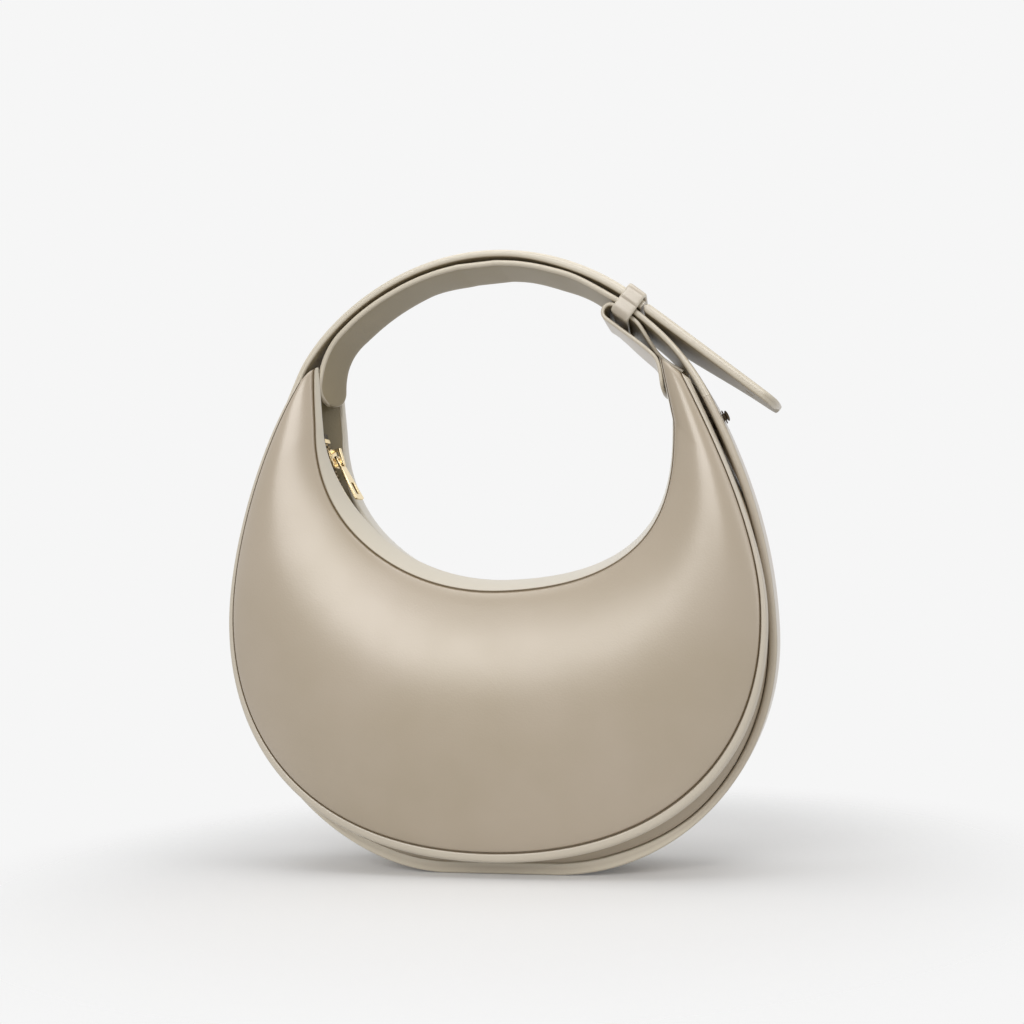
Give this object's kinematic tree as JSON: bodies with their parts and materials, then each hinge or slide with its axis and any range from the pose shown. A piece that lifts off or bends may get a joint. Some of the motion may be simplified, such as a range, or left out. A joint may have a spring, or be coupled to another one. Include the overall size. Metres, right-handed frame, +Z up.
{
  "type": "crescent handbag",
  "caption": "Small half-moon leather handbag whose belt runs round the rim and over the top as a ring handle, with a keeper, a loose strap tail and a curved zip.",
  "frame": {"origin": "middle of the flat underside of the belt, where the bag stands on a surface", "axes": "+X to the right as seen from the front, -Y towards the front, +Z up"},
  "size_m": [0.2478, 0.069, 0.2679],
  "materials": {
    "leather": "satin champagne",
    "leather_edge": "satin champagne, lighter",
    "leather_inside": "matte olive tan",
    "lining": "matte cloth",
    "zip_cloth": "matte woven tape",
    "gold_metal": "polished pale gold",
    "board": "matte board"
  },
  "bodies": {
    "bag": {"front_panel": "leather", "back_panel": "leather", "perimeter_band": "leather", "outer_strap": "leather", "inner_strap": "leather", "loop_tab": "leather", "gusset": "leather", "front_edge_binding": "leather_edge", "back_edge_binding": "leather_edge", "front_mouth_binding": "leather_edge", "back_mouth_binding": "leather_edge", "front_mouth_facing": "leather_inside", "back_mouth_facing": "leather_inside", "front_lining": "lining", "back_lining": "lining", "gusset_lining": "lining", "inner_pocket": "lining", "front_zip_tape": "zip_cloth", "back_zip_tape": "zip_cloth", "front_zip_chain": "gold_metal", "back_zip_chain": "gold_metal", "zip_stop_left": "gold_metal", "zip_stop_right": "gold_metal", "strap_stud": "gold_metal", "stud_screw": "gold_metal", "base_stiffener": "board"},
    "slider": {"zip_slider": "gold_metal"},
    "pull": {"zip_pull": "gold_metal"},
    "tail": {"strap_tail": "leather"},
    "keeper": {"strap_keeper": "leather_edge"}
  },
  "joints": [
    {"name": "zip_travel", "type": "hinge", "parent": "bag", "child": "slider", "pos_m": [0.0065, 0, 0.2045], "axis": [0, -1, 0], "range_deg": [0, 137.5]},
    {"name": "pull_swing", "type": "hinge", "parent": "slider", "child": "pull", "pos_m": [-0.07492, 0, 0.18344], "axis": [0, -1, 0], "range_deg": [-11, 117]},
    {"name": "tail_flex", "type": "hinge", "parent": "bag", "child": "tail", "pos_m": [0.07291, 0, 0.23278], "axis": [0.1349, -0.9781, 0.1582], "range_deg": [-6, 60], "stiffness_Nm_per_rad": 0.12, "springref_deg": 0.8},
    {"name": "keeper_slide", "type": "slide", "parent": "bag", "child": "keeper", "axis": [-0.7611, 0, 0.6486], "range_m": [0, 0.0015]}
  ]
}
